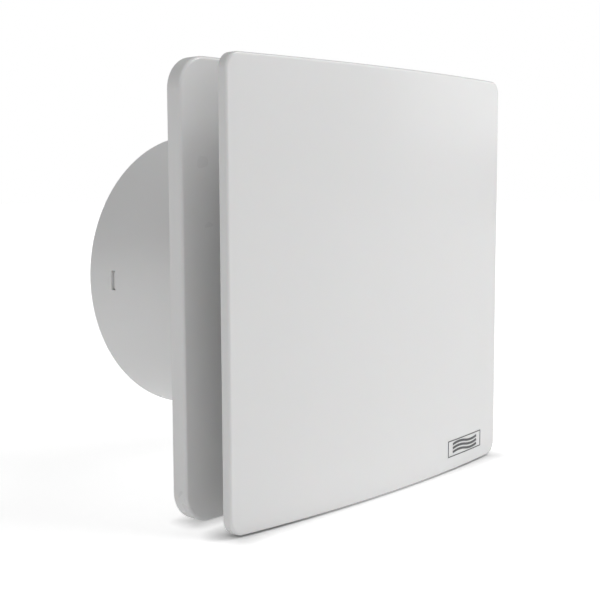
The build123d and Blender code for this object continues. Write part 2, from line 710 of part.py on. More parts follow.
# ---- motor ----
def stator_core():
    """The laminated stator: two poles round the bore and two legs."""
    w = STATOR_HALF_W
    poles = Rectangle(2 * w, 2 * STATOR_POLE_H)
    poles = fillet(poles.vertices().group_by(Axis.Y)[0], STATOR_CORNER_R)
    core = slab_y(poles, STATOR_Y0, STATOR_Y1)
    for side in (-1, 1):
        x0 = min(side * w, side * (w - STATOR_LEG))
        core += block(x0, x0 + STATOR_LEG, STATOR_Y0, STATOR_Y1, STATOR_POLE_H - 1, STATOR_TOP_Z)
        core -= rod_y(SCREW_HOLE_R, STATOR_Y0 - 1, STATOR_Y1 + 1, side * MOTOR_SCREW_X, 0)
    core -= rod_y(STATOR_BORE_R, STATOR_Y0 - 1, STATOR_Y1 + 1)
    core -= ring_slots()
    core -= bar_tongues()
    return core


def bar_tongues():
    """The stepped ends of the coil core bar."""
    reach = STATOR_HALF_W - STATOR_LEG + BAR_END
    half = BAR_END_H / 2
    return block(-reach, reach, STATOR_Y0, STATOR_Y1, BAR_MID_Z - half, BAR_MID_Z + half)


def coil_core_bar():
    """The laminated bar that carries the coil."""
    inner = STATOR_HALF_W - STATOR_LEG
    return bar_tongues() + block(-inner, inner, STATOR_Y0, STATOR_Y1, BAR_Z0, BAR_Z1)


def ring_place(flip):
    """Where a shading ring sits: its middle, and its direction in X and Z."""
    ax, az = RING_A
    bx, bz = RING_B
    angle = math.degrees(math.atan2(bz - az, bx - ax))
    return turned(180 if flip else 0) * Pos((ax + bx) / 2, MOTOR_MID_Y, (az + bz) / 2) * turned(angle)


def ring_span():
    """Distance between a shading ring's two long bars."""
    return math.dist(RING_A, RING_B)


def shading_rings():
    """Two closed copper rings, one round each pole tip."""
    rings = []
    span = ring_span()
    deep = STATOR_T + 2 * RING_FACE_GAP
    for flip in (False, True):
        ring = Box(span + RING_W, deep + 2 * RING_W, RING_W) - Box(span - RING_W, deep, RING_W + 1)
        rings.append(ring_place(flip) * ring)
    return Compound(children=rings)


def ring_slots():
    """The slots in the stator that the shading rings pass through."""
    size = RING_W + 2 * RING_SIDE_GAP
    span = ring_span()
    cuts = None
    for flip in (False, True):
        place = ring_place(flip)
        pair = place * Pos(-span / 2, 0, 0) * Box(size, STATOR_T + 2, size)
        pair += place * Pos(span / 2 + 1, 0, 0) * Box(size + 2, STATOR_T + 2, size)
        angle = math.degrees(math.atan2(RING_A[1], RING_A[0])) + (180 if flip else 0)
        t = RING_SLOT_HALF
        x1 = STATOR_BORE_R + RING_SLOT_DEPTH
        pair += turned(angle) * block(STATOR_BORE_R - 1, x1, STATOR_Y0 - 1, STATOR_Y1 + 1, -t, t)
        cuts = pair if cuts is None else cuts + pair
    return cuts


def sleeve(grow_in, grow_out, half_length):
    """A rounded rectangular sleeve round the coil core bar, along X."""
    def body(grow, extra):
        deep = STATOR_T + 2 * grow
        tall = BAR_Z1 - BAR_Z0 + 2 * grow
        solid = Box(2 * (half_length + extra), deep, tall)
        return fillet(solid.edges().filter_by(Axis.X), min(SLEEVE_CORNER, grow + 0.5))
    return Pos(0, MOTOR_MID_Y, BAR_MID_Z) * (body(grow_out, 0) - body(grow_in, 1))


def coil_bobbin():
    """The plastic bobbin with a flange at each end."""
    wall = BOBBIN_GAP + BOBBIN_T
    tube = sleeve(BOBBIN_GAP, wall, BOBBIN_HALF_L)
    flange = sleeve(BOBBIN_GAP, wall + COIL_T + WRAP_T + FLANGE_PROUD, BOBBIN_T / 2)
    at = BOBBIN_HALF_L - BOBBIN_T / 2
    return tube + Pos(at, 0, 0) * flange + Pos(-at, 0, 0) * flange


def coil_winding():
    """The enamelled copper winding."""
    wall = BOBBIN_GAP + BOBBIN_T
    return sleeve(wall, wall + COIL_T, BOBBIN_HALF_L - BOBBIN_T)


def coil_wrap():
    """The insulating tape round the winding."""
    wall = BOBBIN_GAP + BOBBIN_T + COIL_T
    return sleeve(wall, wall + WRAP_T, BOBBIN_HALF_L - BOBBIN_T)


def thermal_cutout():
    """The flat thermal cutout strapped to the back of the coil."""
    y0 = MOTOR_MID_Y + STATOR_T / 2 + BOBBIN_GAP + BOBBIN_T + COIL_T + WRAP_T
    z = BAR_MID_Z
    body = block(-CUTOUT_L / 2, CUTOUT_L / 2, y0, y0 + CUTOUT_H, z - CUTOUT_W / 2, z + CUTOUT_W / 2)
    return fillet(body.edges().filter_by(Axis.X).group_by(Axis.Y)[-1], CUTOUT_FILLET)


def coil_tabs():
    """Two brass tabs on the bobbin's right flange for the leads."""
    tabs = []
    x1 = BOBBIN_HALF_L + TAB_T
    y1 = MOTOR_MID_Y - STATOR_T / 2 - BOBBIN_GAP - BOBBIN_T
    for z in TAB_Z:
        tab = block(BOBBIN_HALF_L, x1, TAB_Y0, y1, z - TAB_W / 2, z + TAB_W / 2)
        tabs.append(tab)
    return Compound(children=tabs)


def bearing_bracket(rear):
    """A bracket across the stator: two feet, a raised strap and a bearing hub."""
    t = BRACKET_T
    hz = BRACKET_HALF_Z
    strap_y = -t - BRACKET_RISE
    x0 = BRACKET_FOOT_X0
    body = block(-x0 - t, x0 + t, strap_y, strap_y + t, -hz, hz)
    for side in (-1, 1):
        a, b = sorted((side * x0, side * BRACKET_FOOT_X1))
        body += block(a, b, -t, 0, -hz, hz)
        a, b = sorted((side * x0, side * (x0 + t)))
        body += block(a, b, strap_y, 0, -hz, hz)
    body = fillet(body.edges().filter_by(Axis.Z).group_by(Axis.Y)[0], BRACKET_FILLET)
    body += rod_y(HUB_R, strap_y - HUB_OUT, strap_y + t + HUB_IN)
    pocket_y = strap_y - HUB_OUT + CLIP_T + FELT_T
    body -= rod_y(BUSH_R, -FAR, FAR)
    body -= rod_y(FELT_R, -FAR, pocket_y)
    for side in (-1, 1):
        body -= rod_y(SCREW_HOLE_R, -FAR, FAR, side * MOTOR_SCREW_X, 0)
    return bearing_place(rear) * body


def bearing_place(rear):
    """Carries a bracket drawn with its feet at y = 0 onto the front or rear of the stator."""
    if rear:
        return Pos(0, STATOR_Y1, 0) * Rot(0, 0, 180)
    return Pos(0, STATOR_Y0, 0)


def hub_front():
    """Outer end of a bearing hub, measured from the stator face."""
    return -BRACKET_T - BRACKET_RISE - HUB_OUT


def bearing_bush(rear):
    """A sintered bronze bush."""
    y0 = hub_front() + CLIP_T
    return bearing_place(rear) * tube_y(BUSH_R, SHAFT_R + SHAFT_FIT, y0, y0 + BUSH_L)


def oil_felt(rear):
    """The oil felt ring round the bush."""
    y0 = hub_front() + CLIP_T
    return bearing_place(rear) * tube_y(FELT_R, BUSH_R, y0, y0 + FELT_T)


def bearing_clip(rear):
    """The toothed washer that keeps the felt and bush in the hub."""
    ring = tube_y(FELT_R, SHAFT_R + CLIP_SHAFT_GAP, hub_front(), hub_front() + CLIP_T)
    t = CLIP_SLOT_HALF
    for k in range(CLIP_SLOTS):
        slot = block(SHAFT_R, SHAFT_R + CLIP_SLOT_REACH, hub_front() - 1, hub_front() + 2, -t, t)
        ring -= turned(360 / CLIP_SLOTS * k) * slot
    return bearing_place(rear) * ring


def motor_screws():
    """Two long screws through the brackets and stator into the spider."""
    screws = []
    seat = STATOR_Y1 + BRACKET_T
    for x in (-MOTOR_SCREW_X, MOTOR_SCREW_X):
        head = rod_y(SCREW_HEAD_R, seat, seat + SCREW_HEAD_T, x, 0)
        head = fillet(head.edges().group_by(Axis.Y)[-1], MOTOR_HEAD_FILLET)
        for long, short in ((CROSS_HALF_L, CROSS_HALF_W), (CROSS_HALF_W, CROSS_HALF_L)):
            head -= block(x - short, x + short, seat + CROSS_FLOOR, seat + 4, -long, long)
        screws.append(head + rod_y(SCREW_R, SCREW_TIP_Y, seat + SHANK_LAP, x, 0))
    return Compound(children=screws)


# ---- rotor ----
def shaft_end_y():
    """Rear end of the shaft."""
    return STATOR_Y1 - hub_front() + SHAFT_END_OUT


def motor_shaft():
    """The steel shaft."""
    shaft = rod_y(SHAFT_R, SHAFT_Y0, shaft_end_y())
    return chamfer(shaft.edges().filter_by(GeomType.CIRCLE), SHAFT_CHAMFER)


def cage_bars():
    """The bars of the rotor cage."""
    bars = None
    for k in range(CAGE_BARS):
        x, z = polar(CAGE_BAR_AT_R, 360.0 / CAGE_BARS * k)
        bar = rod_y(CAGE_BAR_R, STATOR_Y0 - LAP, STATOR_Y1 + LAP, x, z)
        bars = bar if bars is None else bars + bar
    return bars


def rotor_core():
    """The laminated rotor."""
    return tube_y(ROTOR_R, SHAFT_R, STATOR_Y0, STATOR_Y1) - cage_bars()


def rotor_cage():
    """Aluminium bars and end rings, cast in one."""
    cage = cage_bars()
    cage += tube_y(CAGE_R, CAGE_RING_IN_R, STATOR_Y0 - CAGE_RING_T, STATOR_Y0)
    return cage + tube_y(CAGE_R, CAGE_RING_IN_R, STATOR_Y1, STATOR_Y1 + CAGE_RING_T)


def rotor_spacers():
    """Two sleeves on the shaft that set the rotor between the bushes."""
    washers = []
    gap = SPACER_GAP
    bush_in = hub_front() + CLIP_T + BUSH_L
    for rear in (False, True):
        place = bearing_place(rear)
        washers.append(place * tube_y(WASHER_R, SHAFT_R, bush_in + gap, 0))
    return Compound(children=washers)


def blade_section(r, chord, pitch, thick):
    """A thin curved section across a blade at one radius."""
    a = math.radians(pitch)
    along = Vector(math.cos(a), math.sin(a))
    out = Vector(-math.sin(a), math.cos(a))
    lead = along * (-chord / 2)
    trail = along * (chord / 2)
    edge = out * (BLADE_EDGE_T / 2)
    high = out * (BLADE_CAMBER + thick / 2)
    low = out * (BLADE_CAMBER - thick / 2)
    top = ThreePointArc(lead + edge, high, trail + edge)
    bottom = ThreePointArc(lead - edge, low, trail - edge)
    outline = top + bottom + Line(lead + edge, lead - edge) + Line(trail + edge, trail - edge)
    across = Plane(origin=(r, BLADE_MID_Y, 0), x_dir=(0, 0, 1), z_dir=(1, 0, 0))
    return across * make_face(outline)


def blade():
    """One twisted blade, its root inside the hub wall."""
    root = blade_section(IMP_HUB_R - IMP_WALL, BLADE_ROOT_CHORD, BLADE_ROOT_PITCH, BLADE_ROOT_T)
    tip = blade_section(IMP_TIP_R + 4, BLADE_TIP_CHORD, BLADE_TIP_PITCH, BLADE_TIP_T)
    body = loft([root, tip])
    return body & tube_y(IMP_TIP_R, IMP_HUB_R - IMP_WALL / 2, IMP_Y0 - 2, IMP_Y0 + IMP_HUB_L + 2)


def impeller():
    """Hub cup with a shaft boss and the blades."""
    hub = rod_y(IMP_HUB_R, IMP_Y0, IMP_Y0 + IMP_HUB_L)
    hub = fillet(hub.edges().group_by(Axis.Y)[0], IMP_DOME)
    hollow = rod_y(IMP_HUB_R - IMP_WALL, IMP_Y0 + IMP_WALL, IMP_Y0 + IMP_HUB_L + 1)
    hollow = fillet(hollow.edges().group_by(Axis.Y)[0], IMP_DOME - 1)
    hub -= hollow
    hub += rod_y(IMP_BOSS_R, IMP_Y0 + 1, IMP_Y0 + IMP_HUB_L - LAP)
    for k in range(IMP_WEBS):
        web = block(IMP_BOSS_R - 1, IMP_HUB_R - 1, IMP_Y0 + 1, IMP_Y0 + IMP_WEB_L, -IMP_WEB_HALF, IMP_WEB_HALF)
        hub += turned(360 / IMP_WEBS * k + IMP_WEB_TURN) * web
    one = blade()
    for k in range(BLADES):
        hub += turned(360.0 / BLADES * k) * one
    return hub - rod_y(SHAFT_R, IMP_Y0 - 5, IMP_Y0 + IMP_HUB_L + 5)


def impeller_clip():
    """The push-on clip that keeps the impeller on the shaft."""
    ring = tube_y(IMP_CLIP_R, SHAFT_R, IMP_Y0 - IMP_CLIP_T, IMP_Y0)
    t = IMP_CLIP_SLOT_HALF
    for k in range(IMP_CLIP_SLOTS):
        slot = block(SHAFT_R - LAP, SHAFT_R + IMP_CLIP_SLOT_REACH, IMP_Y0 - 2, IMP_Y0 + 1, -t, t)
        ring -= turned(360 / IMP_CLIP_SLOTS * k) * slot
    return ring


# ---- damper ----
def damper_frame():
    """The push-in ring with its seat, upright bar and snap tongues."""
    ring = tube_y(DAMPER_R, DAMPER_IN_R, DAMPER_Y0, DAMPER_Y1)
    ring = chamfer(ring.edges().group_by(Axis.Y)[0].sort_by(SortBy.RADIUS)[-1], DAMPER_CHAMFER)
    ring += tube_y(DAMPER_IN_R + LAP, SEAT_IN_R, SEAT_Y1 - SEAT_T, SEAT_Y1)
    bar = block(-BAR_HALF_W, BAR_HALF_W, BAR_FRONT_Y, SEAT_Y1, -FAR, FAR)
    bar -= block(-BAR_GROOVE, BAR_GROOVE, BAR_FLOOR_Y, FAR, -FAR, FAR)
    ring += bar & rod_y(DAMPER_IN_R + LAP, DAMPER_Y0, DAMPER_Y1)
    reach = SPIGOT_R - TONGUE_DEPTH
    for side in (-1, 1):
        a, b = sorted((side * (DAMPER_R - 1), side * reach))
        half = SNAP_HALF - TONGUE_SIDE_GAP
        ring += block(a, b, SNAP_Y0 + TONGUE_GAP, SNAP_Y1 - TONGUE_GAP, -half, half)
    return ring - rod_z(PIN_R, -pin_half(), pin_half(), 0, PIN_Y)


def pin_half():
    """Half length of the damper pin."""
    return DAMPER_R - PIN_END_GAP


def damper_pin():
    """The upright steel pin both flaps turn on."""
    return rod_z(PIN_R, -pin_half(), pin_half(), 0, PIN_Y)


def flap(side, knuckles):
    """A half-round flap with two knuckles round the pin and a notch for the other spring."""
    y0 = PIN_Y - FLAP_T / 2
    y1 = PIN_Y + FLAP_T / 2
    plate = rod_y(FLAP_R, y0, y1)
    a, b = sorted((side * FLAP_IN_X, side * FAR))
    plate = plate & block(a, b, y0, y1, -FAR, FAR)
    for z in FLAP_RIB_Z:
        a, b = sorted((side * (FLAP_IN_X + FLAP_RIB_IN), side * (FLAP_R - FLAP_RIB_FROM_RIM)))
        plate += block(a, b, y1 - FLAP_RIB_LAP, y1 + FLAP_RIB_H, z - FLAP_RIB_HALF, z + FLAP_RIB_HALF)
    for z in knuckles:
        z0 = z - KNUCKLE_L / 2
        z1 = z + KNUCKLE_L / 2
        a, b = sorted((side * KNUCKLE_ARM_X, side * (FLAP_IN_X + 1)))
        plate += block(a, b, y0, y1, z0, z1)
        plate += rod_z(KNUCKLE_R, z0, z1, 0, PIN_Y)
        plate -= rod_z(PIN_R + PIN_FIT, z0 - 1, z1 + 1, 0, PIN_Y)
    leg_z = spring_leg_z(-side)
    a, b = sorted((side * (FLAP_IN_X - 1), side * SPRING_NOTCH_X))
    return plate - block(a, b, y0 - 1, y1 + 1, leg_z - SPRING_NOTCH_HALF, leg_z + SPRING_NOTCH_HALF)


def spring_leg_z(side):
    """Height of one spring's long leg, at the upper end of its coil."""
    return side * SPRING_Z + SPRING_PITCH * SPRING_TURNS / 2


def damper_spring(side):
    """A light torsion spring round the pin, one leg on the flap's back."""
    height = SPRING_PITCH * SPRING_TURNS
    z1 = spring_leg_z(side)
    z0 = z1 - height
    coil = Pos(0, PIN_Y, z0) * Rot(0, 0, -90) * Helix(SPRING_PITCH, height, SPRING_COIL_R)
    start = Plane(origin=coil @ 0, z_dir=coil % 0)
    wire = sweep(start * Circle(SPRING_WIRE_R), path=coil)
    lap = SPRING_WIRE_R / 2
    flap_y = PIN_Y + FLAP_T / 2 + SPRING_WIRE_R + SPRING_LIFT
    wire += straight((-lap, PIN_Y + SPRING_COIL_R, z1), (SPRING_LEG_X, flap_y, z1), SPRING_LEG_R)
    wire += straight((0, PIN_Y - SPRING_COIL_R + lap, z0), (0, PIN_Y - SPRING_HOOK_R, z0), SPRING_LEG_R)
    return wire if side > 0 else mirror(wire, about=Plane.YZ)


# ---- leads ----
def lead(pole, side):
    """A motor lead from its terminal, through the tray and channel, to the coil tab."""
    x = TERM_X[pole]
    ca, sa = polar(1.0, CHANNEL_ANGLE)
    off = Vector(-sa * side * LEAD_SIDE, 0, ca * side * LEAD_SIDE)
    out_r = SPIGOT_R + (LEAD_KINK_LIVE if side > 0 else LEAD_KINK_NEUTRAL)
    inner_r = LEAD_CHANNEL_R - (LEAD_IN_LIVE if side > 0 else LEAD_IN_NEUTRAL)

    def at(r, y):
        return Vector(r * ca, y, r * sa) + off

    points = [
        Vector(x, TERM_Y, TERM_Z0 - 0.1),
        Vector(x, TERM_Y, LEAD_DROP_Z),
        Vector(x, LEAD_TRAY_Y, LEAD_DROP_Z),
        at(out_r, LEAD_TRAY_Y),
        at(LEAD_CHANNEL_R, LEAD_TRAY_Y),
        at(LEAD_CHANNEL_R, LEAD_RUN_Y),
        at(inner_r, LEAD_RUN_Y),
        Vector(BOBBIN_HALF_L + TAB_T + LEAD_TAB_STANDOFF, LEAD_RUN_Y, TAB_Z[pole]),
    ]
    wire = round_wire(points, LEAD_R, LEAD_BEND)
    wire += rod_z(LEAD_CORE_R, TERM_Z0 - 0.3, TERM_Z1 - 1, x, TERM_Y)
    end = points[-1]
    tab = (BOBBIN_HALF_L + TAB_T, end.Y, end.Z)
    return wire + straight((end.X, end.Y, end.Z), tab, LEAD_CORE_R)


NODES = {
    "housing": housing,
    "front_cover": front_cover,
    "cover_badge": cover_badge,
    "terminal_block": terminal_block,
    "terminal_clamps": terminal_clamps,
    "terminal_screws": terminal_screws,
    "terminal_lid": terminal_lid,
    "terminal_lid_screw": terminal_lid_screw,
    "cable_grommet": cable_grommet,
    "cord_clamp": cord_clamp,
    "cord_clamp_screws": cord_clamp_screws,
    "stator_core": stator_core,
    "coil_core_bar": coil_core_bar,
    "shading_rings": shading_rings,
    "coil_bobbin": coil_bobbin,
    "coil_winding": coil_winding,
    "coil_wrap": coil_wrap,
    "coil_tabs": coil_tabs,
    "thermal_cutout": thermal_cutout,
    "front_bearing_bracket": lambda: bearing_bracket(False),
    "rear_bearing_bracket": lambda: bearing_bracket(True),
    "front_bearing_bush": lambda: bearing_bush(False),
    "rear_bearing_bush": lambda: bearing_bush(True),
    "front_oil_felt": lambda: oil_felt(False),
    "rear_oil_felt": lambda: oil_felt(True),
    "front_bearing_clip": lambda: bearing_clip(False),
    "rear_bearing_clip": lambda: bearing_clip(True),
    "motor_screws": motor_screws,
    "motor_lead_live": lambda: lead(0, 1),
    "motor_lead_neutral": lambda: lead(1, -1),
    "motor_shaft": motor_shaft,
    "rotor_core": rotor_core,
    "rotor_cage": rotor_cage,
    "rotor_spacers": rotor_spacers,
    "impeller": impeller,
    "impeller_clip": impeller_clip,
    "damper_frame": damper_frame,
    "damper_pin": damper_pin,
    "damper_flap_left": lambda: flap(-1, KNUCKLES_LEFT),
    "damper_flap_right": lambda: flap(1, KNUCKLES_RIGHT),
    "damper_spring_left": lambda: damper_spring(-1),
    "damper_spring_right": lambda: damper_spring(1),
}

os.makedirs("parts", exist_ok=True)
for node_name, make in NODES.items():
    keep(node_name, make())
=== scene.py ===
"""Studio scene of the bathroom extractor fan."""
import json
import math
import bpy
from mathutils import Matrix, Vector


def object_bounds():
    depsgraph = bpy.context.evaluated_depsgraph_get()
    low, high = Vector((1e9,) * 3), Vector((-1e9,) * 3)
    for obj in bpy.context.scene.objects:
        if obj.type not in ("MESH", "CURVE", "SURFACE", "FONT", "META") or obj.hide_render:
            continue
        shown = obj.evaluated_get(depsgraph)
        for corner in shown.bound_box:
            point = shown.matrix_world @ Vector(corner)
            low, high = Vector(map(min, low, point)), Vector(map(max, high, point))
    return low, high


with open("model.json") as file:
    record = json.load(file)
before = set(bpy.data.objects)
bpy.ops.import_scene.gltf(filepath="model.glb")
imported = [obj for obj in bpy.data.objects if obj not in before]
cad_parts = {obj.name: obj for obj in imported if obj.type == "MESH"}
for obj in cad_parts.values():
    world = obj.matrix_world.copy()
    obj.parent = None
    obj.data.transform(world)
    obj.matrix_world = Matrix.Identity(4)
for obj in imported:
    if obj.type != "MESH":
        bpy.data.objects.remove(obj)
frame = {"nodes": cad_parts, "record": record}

MM = 0.001
cad_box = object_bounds()
nodes = frame["nodes"]


# ---------------------------------------------------------------- shader groups
def new_group(name, inputs, outputs):
    """A shader node group with float, colour or vector sockets: name -> default value."""
    group = bpy.data.node_groups.new(name, "ShaderNodeTree")
    for label, value in inputs.items():
        if isinstance(value, tuple):
            kind = "NodeSocketColor" if len(value) == 4 else "NodeSocketVector"
        else:
            kind = "NodeSocketFloat"
        sock = group.interface.new_socket(label, in_out="INPUT", socket_type=kind)
        sock.default_value = value
    for label, kind in outputs.items():
        group.interface.new_socket(label, in_out="OUTPUT", socket_type=kind)
    enter = group.nodes.new("NodeGroupInput")
    leave = group.nodes.new("NodeGroupOutput")
    return group, enter, leave


def add(tree, kind, **settings):
    """Adds a node and sets its properties."""
    node = tree.nodes.new(kind)
    for key, value in settings.items():
        setattr(node, key, value)
    return node


def set_inputs(node, **values):
    """Sets input sockets by name, underscores standing for spaces."""
    for key, value in values.items():
        node.inputs[key.replace("_", " ")].default_value = value
    return node


def noise(tree, coords, scale, detail=3.0, roughness=0.5):
    """A noise texture on the given coordinates."""
    tex = add(tree, "ShaderNodeTexNoise")
    set_inputs(tex, Scale=scale, Detail=detail, Roughness=roughness)
    tree.links.new(coords, tex.inputs["Vector"])
    return tex.outputs["Fac"]


def ramp(tree, value, low, high, out_low=0.0, out_high=1.0):
    """Maps a value from low..high to out_low..out_high, clamped."""
    node = add(tree, "ShaderNodeMapRange")
    node.clamp = True
    for slot, number in zip((1, 2, 3, 4), (low, high, out_low, out_high)):
        node.inputs[slot].default_value = number
    tree.links.new(value, node.inputs[0])
    return node.outputs[0]


def maths(tree, operation, a, b=None):
    """A Math node on sockets or numbers."""
    node = add(tree, "ShaderNodeMath", operation=operation)
    for slot, item in enumerate((a, b)):
        if item is None:
            continue
        if isinstance(item, (int, float)):
            node.inputs[slot].default_value = item
        else:
            tree.links.new(item, node.inputs[slot])
    return node.outputs[0]


def moulded_skin_group():
    """Injection-moulded skin: fine spark texture, faint flow clouds and settled dust.
    Puts out a colour factor, a roughness and a height."""
    group, enter, leave = new_group(
        "moulded_skin",
        {"Grain Scale": 2600.0, "Grain Height": 0.5, "Cloud Scale": 14.0, "Cloud Amount": 0.02,
         "Roughness": 0.3, "Roughness Spread": 0.05, "Dust": 0.04},
        {"Shade": "NodeSocketFloat", "Roughness": "NodeSocketFloat", "Height": "NodeSocketFloat"},
    )
    spot = add(group, "ShaderNodeTexCoord").outputs["Object"]
    grain = add(group, "ShaderNodeTexNoise")
    set_inputs(grain, Detail=2.0, Roughness=0.6)
    group.links.new(spot, grain.inputs["Vector"])
    group.links.new(enter.outputs["Grain Scale"], grain.inputs["Scale"])
    cloud = add(group, "ShaderNodeTexNoise")
    set_inputs(cloud, Detail=4.0, Roughness=0.55)
    group.links.new(spot, cloud.inputs["Vector"])
    group.links.new(enter.outputs["Cloud Scale"], cloud.inputs["Scale"])
    drift = maths(group, "SUBTRACT", cloud.outputs["Fac"], 0.5)
    shade = maths(group, "MULTIPLY", drift, enter.outputs["Cloud Amount"])
    facing = add(group, "ShaderNodeNewGeometry").outputs["Normal"]
    split = add(group, "ShaderNodeSeparateXYZ")
    group.links.new(facing, split.inputs[0])
    upward = ramp(group, split.outputs["Z"], 0.3, 1.0)
    speck = noise(group, spot, 900.0, 5.0, 0.7)
    dust = maths(group, "MULTIPLY", upward, ramp(group, speck, 0.45, 0.75))
    dust = maths(group, "MULTIPLY", dust, enter.outputs["Dust"])
    shade = maths(group, "SUBTRACT", shade, dust)
    group.links.new(maths(group, "ADD", shade, 1.0), leave.inputs["Shade"])
    spread = maths(group, "MULTIPLY", drift, enter.outputs["Roughness Spread"])
    rough = maths(group, "ADD", enter.outputs["Roughness"], spread)
    rough = maths(group, "ADD", rough, maths(group, "MULTIPLY", dust, 2.0))
    group.links.new(rough, leave.inputs["Roughness"])
    high = maths(group, "MULTIPLY", grain.outputs["Fac"], enter.outputs["Grain Height"])
    group.links.new(high, leave.inputs["Height"])
    return group


def worked_metal_group():
    """Worked metal: streaks drawn out along one axis, oxide clouds and a fine height."""
    group, enter, leave = new_group(
        "worked_metal",
        {"Stretch": (1.0, 1.0, 1.0), "Streak Scale": 900.0, "Streak Amount": 0.12,
         "Oxide Scale": 60.0, "Oxide Amount": 0.15, "Roughness": 0.35},
        {"Shade": "NodeSocketFloat", "Roughness": "NodeSocketFloat", "Height": "NodeSocketFloat"},
    )
    spot = add(group, "ShaderNodeTexCoord").outputs["Object"]
    drawn = add(group, "ShaderNodeVectorMath", operation="MULTIPLY")
    group.links.new(spot, drawn.inputs[0])
    group.links.new(enter.outputs["Stretch"], drawn.inputs[1])
    streak = add(group, "ShaderNodeTexNoise")
    set_inputs(streak, Detail=3.0, Roughness=0.6)
    group.links.new(drawn.outputs[0], streak.inputs["Vector"])
    group.links.new(enter.outputs["Streak Scale"], streak.inputs["Scale"])
    oxide = add(group, "ShaderNodeTexNoise")
    set_inputs(oxide, Detail=5.0, Roughness=0.65)
    group.links.new(spot, oxide.inputs["Vector"])
    group.links.new(enter.outputs["Oxide Scale"], oxide.inputs["Scale"])
    lines = maths(group, "MULTIPLY", maths(group, "SUBTRACT", streak.outputs["Fac"], 0.5),
                  enter.outputs["Streak Amount"])
    spots = maths(group, "MULTIPLY", ramp(group, oxide.outputs["Fac"], 0.5, 0.8),
                  enter.outputs["Oxide Amount"])
    shade = maths(group, "SUBTRACT", maths(group, "ADD", lines, 1.0), spots)
    group.links.new(shade, leave.inputs["Shade"])
    rough = maths(group, "ADD", enter.outputs["Roughness"], maths(group, "ADD", lines, spots))
    group.links.new(rough, leave.inputs["Roughness"])
    group.links.new(streak.outputs["Fac"], leave.inputs["Height"])
    return group


def edge_light_group():
    """Rubbed edges: 1 where the surface bends sharply, broken up by a fine noise."""
    group, enter, leave = new_group(
        "rubbed_edges", {"Break Scale": 700.0}, {"Mask": "NodeSocketFloat"})
    spot = add(group, "ShaderNodeTexCoord").outputs["Object"]
    geometry = add(group, "ShaderNodeNewGeometry")
    bent = ramp(group, geometry.outputs["Pointiness"], 0.51, 0.58)
    broken = add(group, "ShaderNodeTexNoise")
    set_inputs(broken, Detail=4.0, Roughness=0.6)
    group.links.new(spot, broken.inputs["Vector"])
    group.links.new(enter.outputs["Break Scale"], broken.inputs["Scale"])
    mask = maths(group, "MULTIPLY", bent, ramp(group, broken.outputs["Fac"], 0.35, 0.65))
    group.links.new(mask, leave.inputs["Mask"])
    return group


MOULDED = moulded_skin_group()
WORKED = worked_metal_group()
EDGES = edge_light_group()


# ---------------------------------------------------------------- materials
def base_material(name):
    """An empty material with a Principled shader; returns the material, its tree and shader."""
    mat = bpy.data.materials.new(name)
    mat.use_nodes = True
    tree = mat.node_tree
    shader = next(n for n in tree.nodes if n.type == "BSDF_PRINCIPLED")
    return mat, tree, shader


def tinted(tree, colour, factor, shader):
    """Base colour times a factor that changes over the surface."""
    mix = add(tree, "ShaderNodeVectorMath", operation="SCALE")
    mix.inputs[0].default_value = colour
    tree.links.new(factor, mix.inputs["Scale"])
    tree.links.new(mix.outputs[0], shader.inputs["Base Color"])


def bump(tree, height, distance, strength, shader):
    """A Bump node that feeds the shader's normal."""
    node = add(tree, "ShaderNodeBump")
    set_inputs(node, Strength=strength, Distance=distance)
    tree.links.new(height, node.inputs["Height"])
    tree.links.new(node.outputs["Normal"], shader.inputs["Normal"])


def plastic(name, colour, rough, grain=2600.0, depth=0.000004, coat=0.0, sub=0.0, dust=0.006, cloud=0.02):
    """Moulded plastic."""
    mat, tree, shader = base_material(name)
    skin = add(tree, "ShaderNodeGroup", node_tree=MOULDED)
    set_inputs(skin, Grain_Scale=grain, Roughness=rough, Dust=dust, Cloud_Amount=cloud)
    tinted(tree, colour, skin.outputs["Shade"], shader)
    tree.links.new(skin.outputs["Roughness"], shader.inputs["Roughness"])
    bump(tree, skin.outputs["Height"], depth, 0.5, shader)
    shader.inputs["IOR"].default_value = 1.5
    shader.inputs["Coat Weight"].default_value = coat
    shader.inputs["Coat Roughness"].default_value = 0.15
    if sub:
        shader.inputs["Subsurface Weight"].default_value = sub
        shader.inputs["Subsurface Scale"].default_value = 0.001
    return mat


def metal(name, colour, rough, stretch=(1.0, 1.0, 1.0), streak=0.15, oxide=0.15, scale=900.0, metallic=1.0):
    """Worked metal with rubbed edges."""
    mat, tree, shader = base_material(name)
    work = add(tree, "ShaderNodeGroup", node_tree=WORKED)
    set_inputs(work, Stretch=stretch, Roughness=rough, Streak_Amount=streak, Oxide_Amount=oxide,
               Streak_Scale=scale)
    edges = add(tree, "ShaderNodeGroup", node_tree=EDGES)
    shade = maths(tree, "ADD", work.outputs["Shade"], maths(tree, "MULTIPLY", edges.outputs["Mask"], 0.25))
    tinted(tree, colour, shade, shader)
    tree.links.new(work.outputs["Roughness"], shader.inputs["Roughness"])
    shader.inputs["Metallic"].default_value = metallic
    bump(tree, work.outputs["Height"], 0.00001, 0.3, shader)
    return mat


